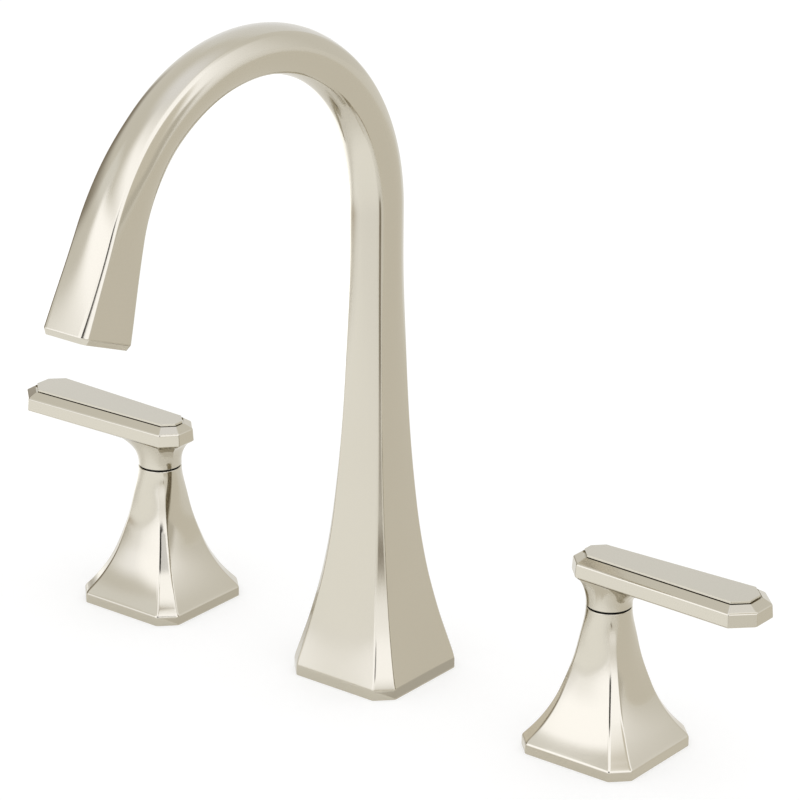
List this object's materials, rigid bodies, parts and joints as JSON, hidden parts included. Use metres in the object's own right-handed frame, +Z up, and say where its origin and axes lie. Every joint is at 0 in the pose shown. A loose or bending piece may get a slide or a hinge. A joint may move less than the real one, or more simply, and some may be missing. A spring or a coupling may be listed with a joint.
{
  "type": "widespread bathroom faucet",
  "caption": "Widespread bathroom faucet with a gooseneck spout and separate hot and cold lever handles on chamfered square feet.",
  "frame": {"origin": "centre of the spout's foot on the deck's top face", "axes": "+Z up from the deck, +X along the row of holes from the hot handle to the cold one, -Y towards the user and the basin"},
  "size_m": [0.3278, 0.184, 0.3389],
  "materials": {
    "polished_nickel": "polished nickel plate on brass, warm, mirror bright",
    "brass": "machined, unplated",
    "stainless_steel": "stamped and woven stainless steel",
    "black_rubber": "moulded, matt",
    "black_acetal": "moulded acetal, satin",
    "frosted_plastic": "moulded, translucent white",
    "ceramic": null
  },
  "bodies": {
    "deck_fixed": {"spout_body": "polished_nickel", "spout_base_gasket": "black_rubber", "spout_shank": "brass", "spout_o_ring": "black_rubber", "spout_rubber_washer": "black_rubber", "spout_steel_washer": "stainless_steel", "spout_mounting_nut": "brass", "spout_tee": "brass", "aerator_gasket": "black_rubber", "aerator_housing": "frosted_plastic", "aerator_screen": "stainless_steel", "hot_lower_disc": "ceramic", "hot_cartridge_seal": "black_rubber", "hot_cartridge_body": "brass", "hot_bonnet": "brass", "hot_glide_ring": "black_acetal", "hot_escutcheon": "polished_nickel", "hot_escutcheon_gasket": "black_rubber", "hot_deck_flange": "brass", "hot_valve_body": "brass", "hot_rubber_washer": "black_rubber", "hot_steel_washer": "stainless_steel", "hot_mounting_nut": "brass", "cold_lower_disc": "ceramic", "cold_cartridge_seal": "black_rubber", "cold_cartridge_body": "brass", "cold_bonnet": "brass", "cold_glide_ring": "black_acetal", "cold_escutcheon": "polished_nickel", "cold_escutcheon_gasket": "black_rubber", "cold_deck_flange": "brass", "cold_valve_body": "brass", "cold_rubber_washer": "black_rubber", "cold_steel_washer": "stainless_steel", "cold_mounting_nut": "brass"},
    "hot_handle": {"hot_lever": "polished_nickel", "hot_set_screw": "stainless_steel", "hot_stem_adapter": "black_acetal", "hot_valve_stem": "brass", "hot_upper_disc": "ceramic"},
    "cold_handle": {"cold_lever": "polished_nickel", "cold_set_screw": "stainless_steel", "cold_stem_adapter": "black_acetal", "cold_valve_stem": "brass", "cold_upper_disc": "ceramic"}
  },
  "joints": [
    {"name": "hot_lever_turn", "type": "hinge", "parent": "deck_fixed", "child": "hot_handle", "pos_m": [-0.1016, 0, 0.06], "axis": [0, 0, 1], "range_deg": [0, 90]},
    {"name": "cold_lever_turn", "type": "hinge", "parent": "deck_fixed", "child": "cold_handle", "pos_m": [0.1016, 0, 0.06], "axis": [0, 0, 1], "range_deg": [-90, 0]}
  ]
}
